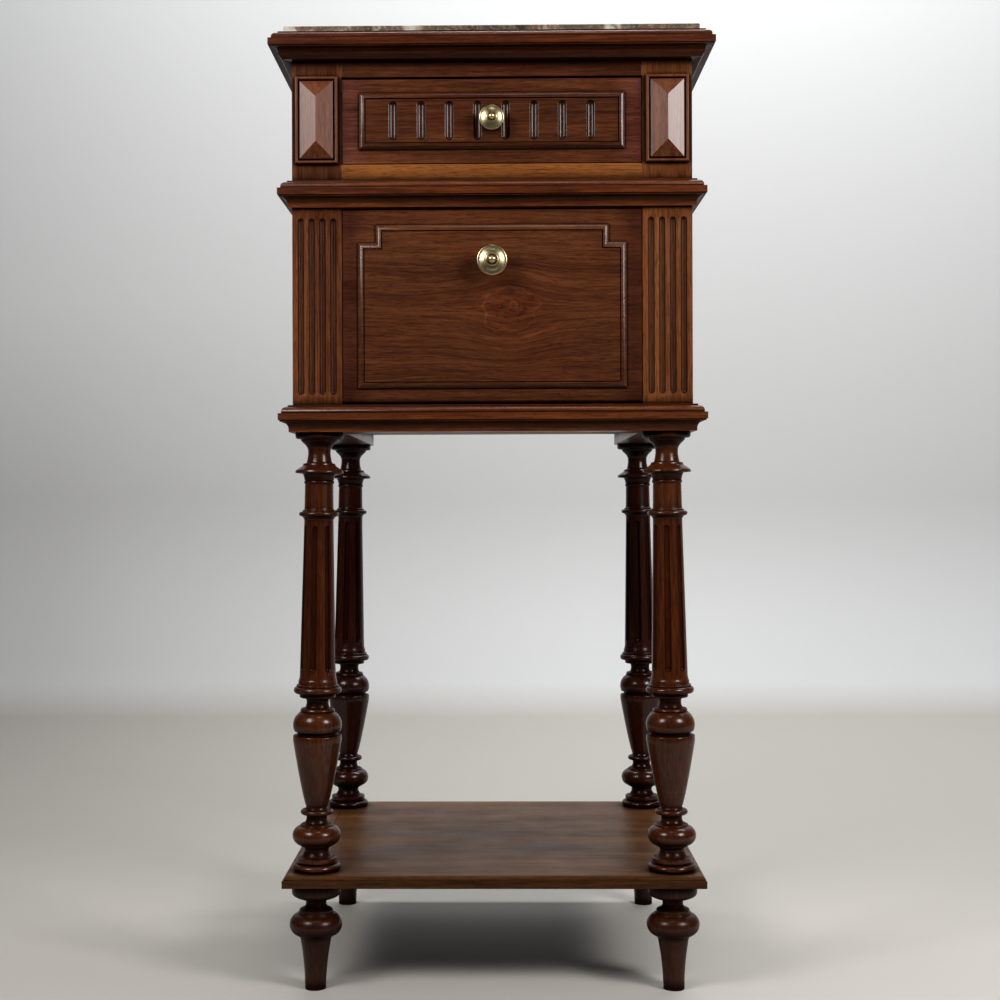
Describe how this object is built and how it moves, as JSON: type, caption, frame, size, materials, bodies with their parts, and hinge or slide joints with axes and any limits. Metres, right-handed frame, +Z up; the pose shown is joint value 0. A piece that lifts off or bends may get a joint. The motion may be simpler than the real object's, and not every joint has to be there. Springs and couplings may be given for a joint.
{
  "type": "bedside pot cupboard",
  "caption": "Tall bedside cupboard with a drawer over a fall-front compartment, on turned, fluted legs with a low shelf and a marble top.",
  "frame": {"origin": "on the floor, under the middle of the whole cupboard with its knobs", "axes": "+Z up, front faces -Y, +X to the right of someone who faces the cupboard"},
  "size_m": [0.396, 0.3828, 0.8664],
  "materials": {
    "walnut": "satin",
    "dark_walnut": "satin",
    "warm_walnut": "satin",
    "pale_wood": "matte",
    "brass": "polished",
    "marble": "polished",
    "steel": "satin"
  },
  "bodies": {
    "case": {"marble_top": "marble", "cornice_front": "walnut", "cornice_left": "walnut", "cornice_right": "walnut", "cornice_back": "dark_walnut", "front_post_left": "warm_walnut", "front_post_right": "warm_walnut", "back_post_left": "dark_walnut", "back_post_right": "dark_walnut", "side_panel_left": "walnut", "side_panel_right": "walnut", "back_panel": "pale_wood", "diamond_block_left": "walnut", "diamond_block_right": "walnut", "waist_moulding_front": "walnut", "waist_moulding_left": "walnut", "waist_moulding_right": "walnut", "base_frame_front": "walnut", "base_frame_left": "walnut", "base_frame_right": "walnut", "base_frame_back": "pale_wood", "bottom_panel": "pale_wood", "upper_rail": "walnut", "drawer_rail": "warm_walnut", "dust_board": "pale_wood", "drawer_runners": "pale_wood", "drawer_guides": "pale_wood", "drawer_kickers": "pale_wood", "drawer_stops": "pale_wood", "door_stops": "dark_walnut", "catch_strike": "brass", "shelf": "walnut", "leg_front_left": "dark_walnut", "leg_front_right": "dark_walnut", "leg_back_left": "dark_walnut", "leg_back_right": "dark_walnut", "foot_front_left": "dark_walnut", "foot_front_right": "dark_walnut", "foot_back_left": "dark_walnut", "foot_back_right": "dark_walnut"},
    "drawer": {"drawer_front": "walnut", "drawer_field": "walnut", "drawer_side_left": "pale_wood", "drawer_side_right": "pale_wood", "drawer_back": "pale_wood", "drawer_bottom": "pale_wood", "drawer_knob": "brass", "drawer_knob_screw": "steel"},
    "door": {"door_stile_left": "dark_walnut", "door_stile_right": "dark_walnut", "door_rail_top": "walnut", "door_rail_bottom": "walnut", "door_core": "walnut", "door_field": "walnut", "door_knob": "brass", "door_knob_screw": "steel", "hinge_pins": "steel", "catch_barrel": "brass", "catch_spring": "steel"},
    "ball": {"catch_ball": "steel"}
  },
  "joints": [
    {"name": "drawer_slide", "type": "slide", "parent": "case", "child": "drawer", "axis": [0, -1, 0], "range_m": [0, 0.2]},
    {"name": "door_hinge", "type": "hinge", "parent": "case", "child": "door", "pos_m": [0, -0.16305, 0.5324], "axis": [1, 0, 0], "range_deg": [0, 90]},
    {"name": "catch_ball_press", "type": "slide", "parent": "door", "child": "ball", "axis": [0, 0, -1], "range_m": [0, 0.001], "stiffness_N_per_m": 300, "deforming": ["catch_spring"]}
  ]
}
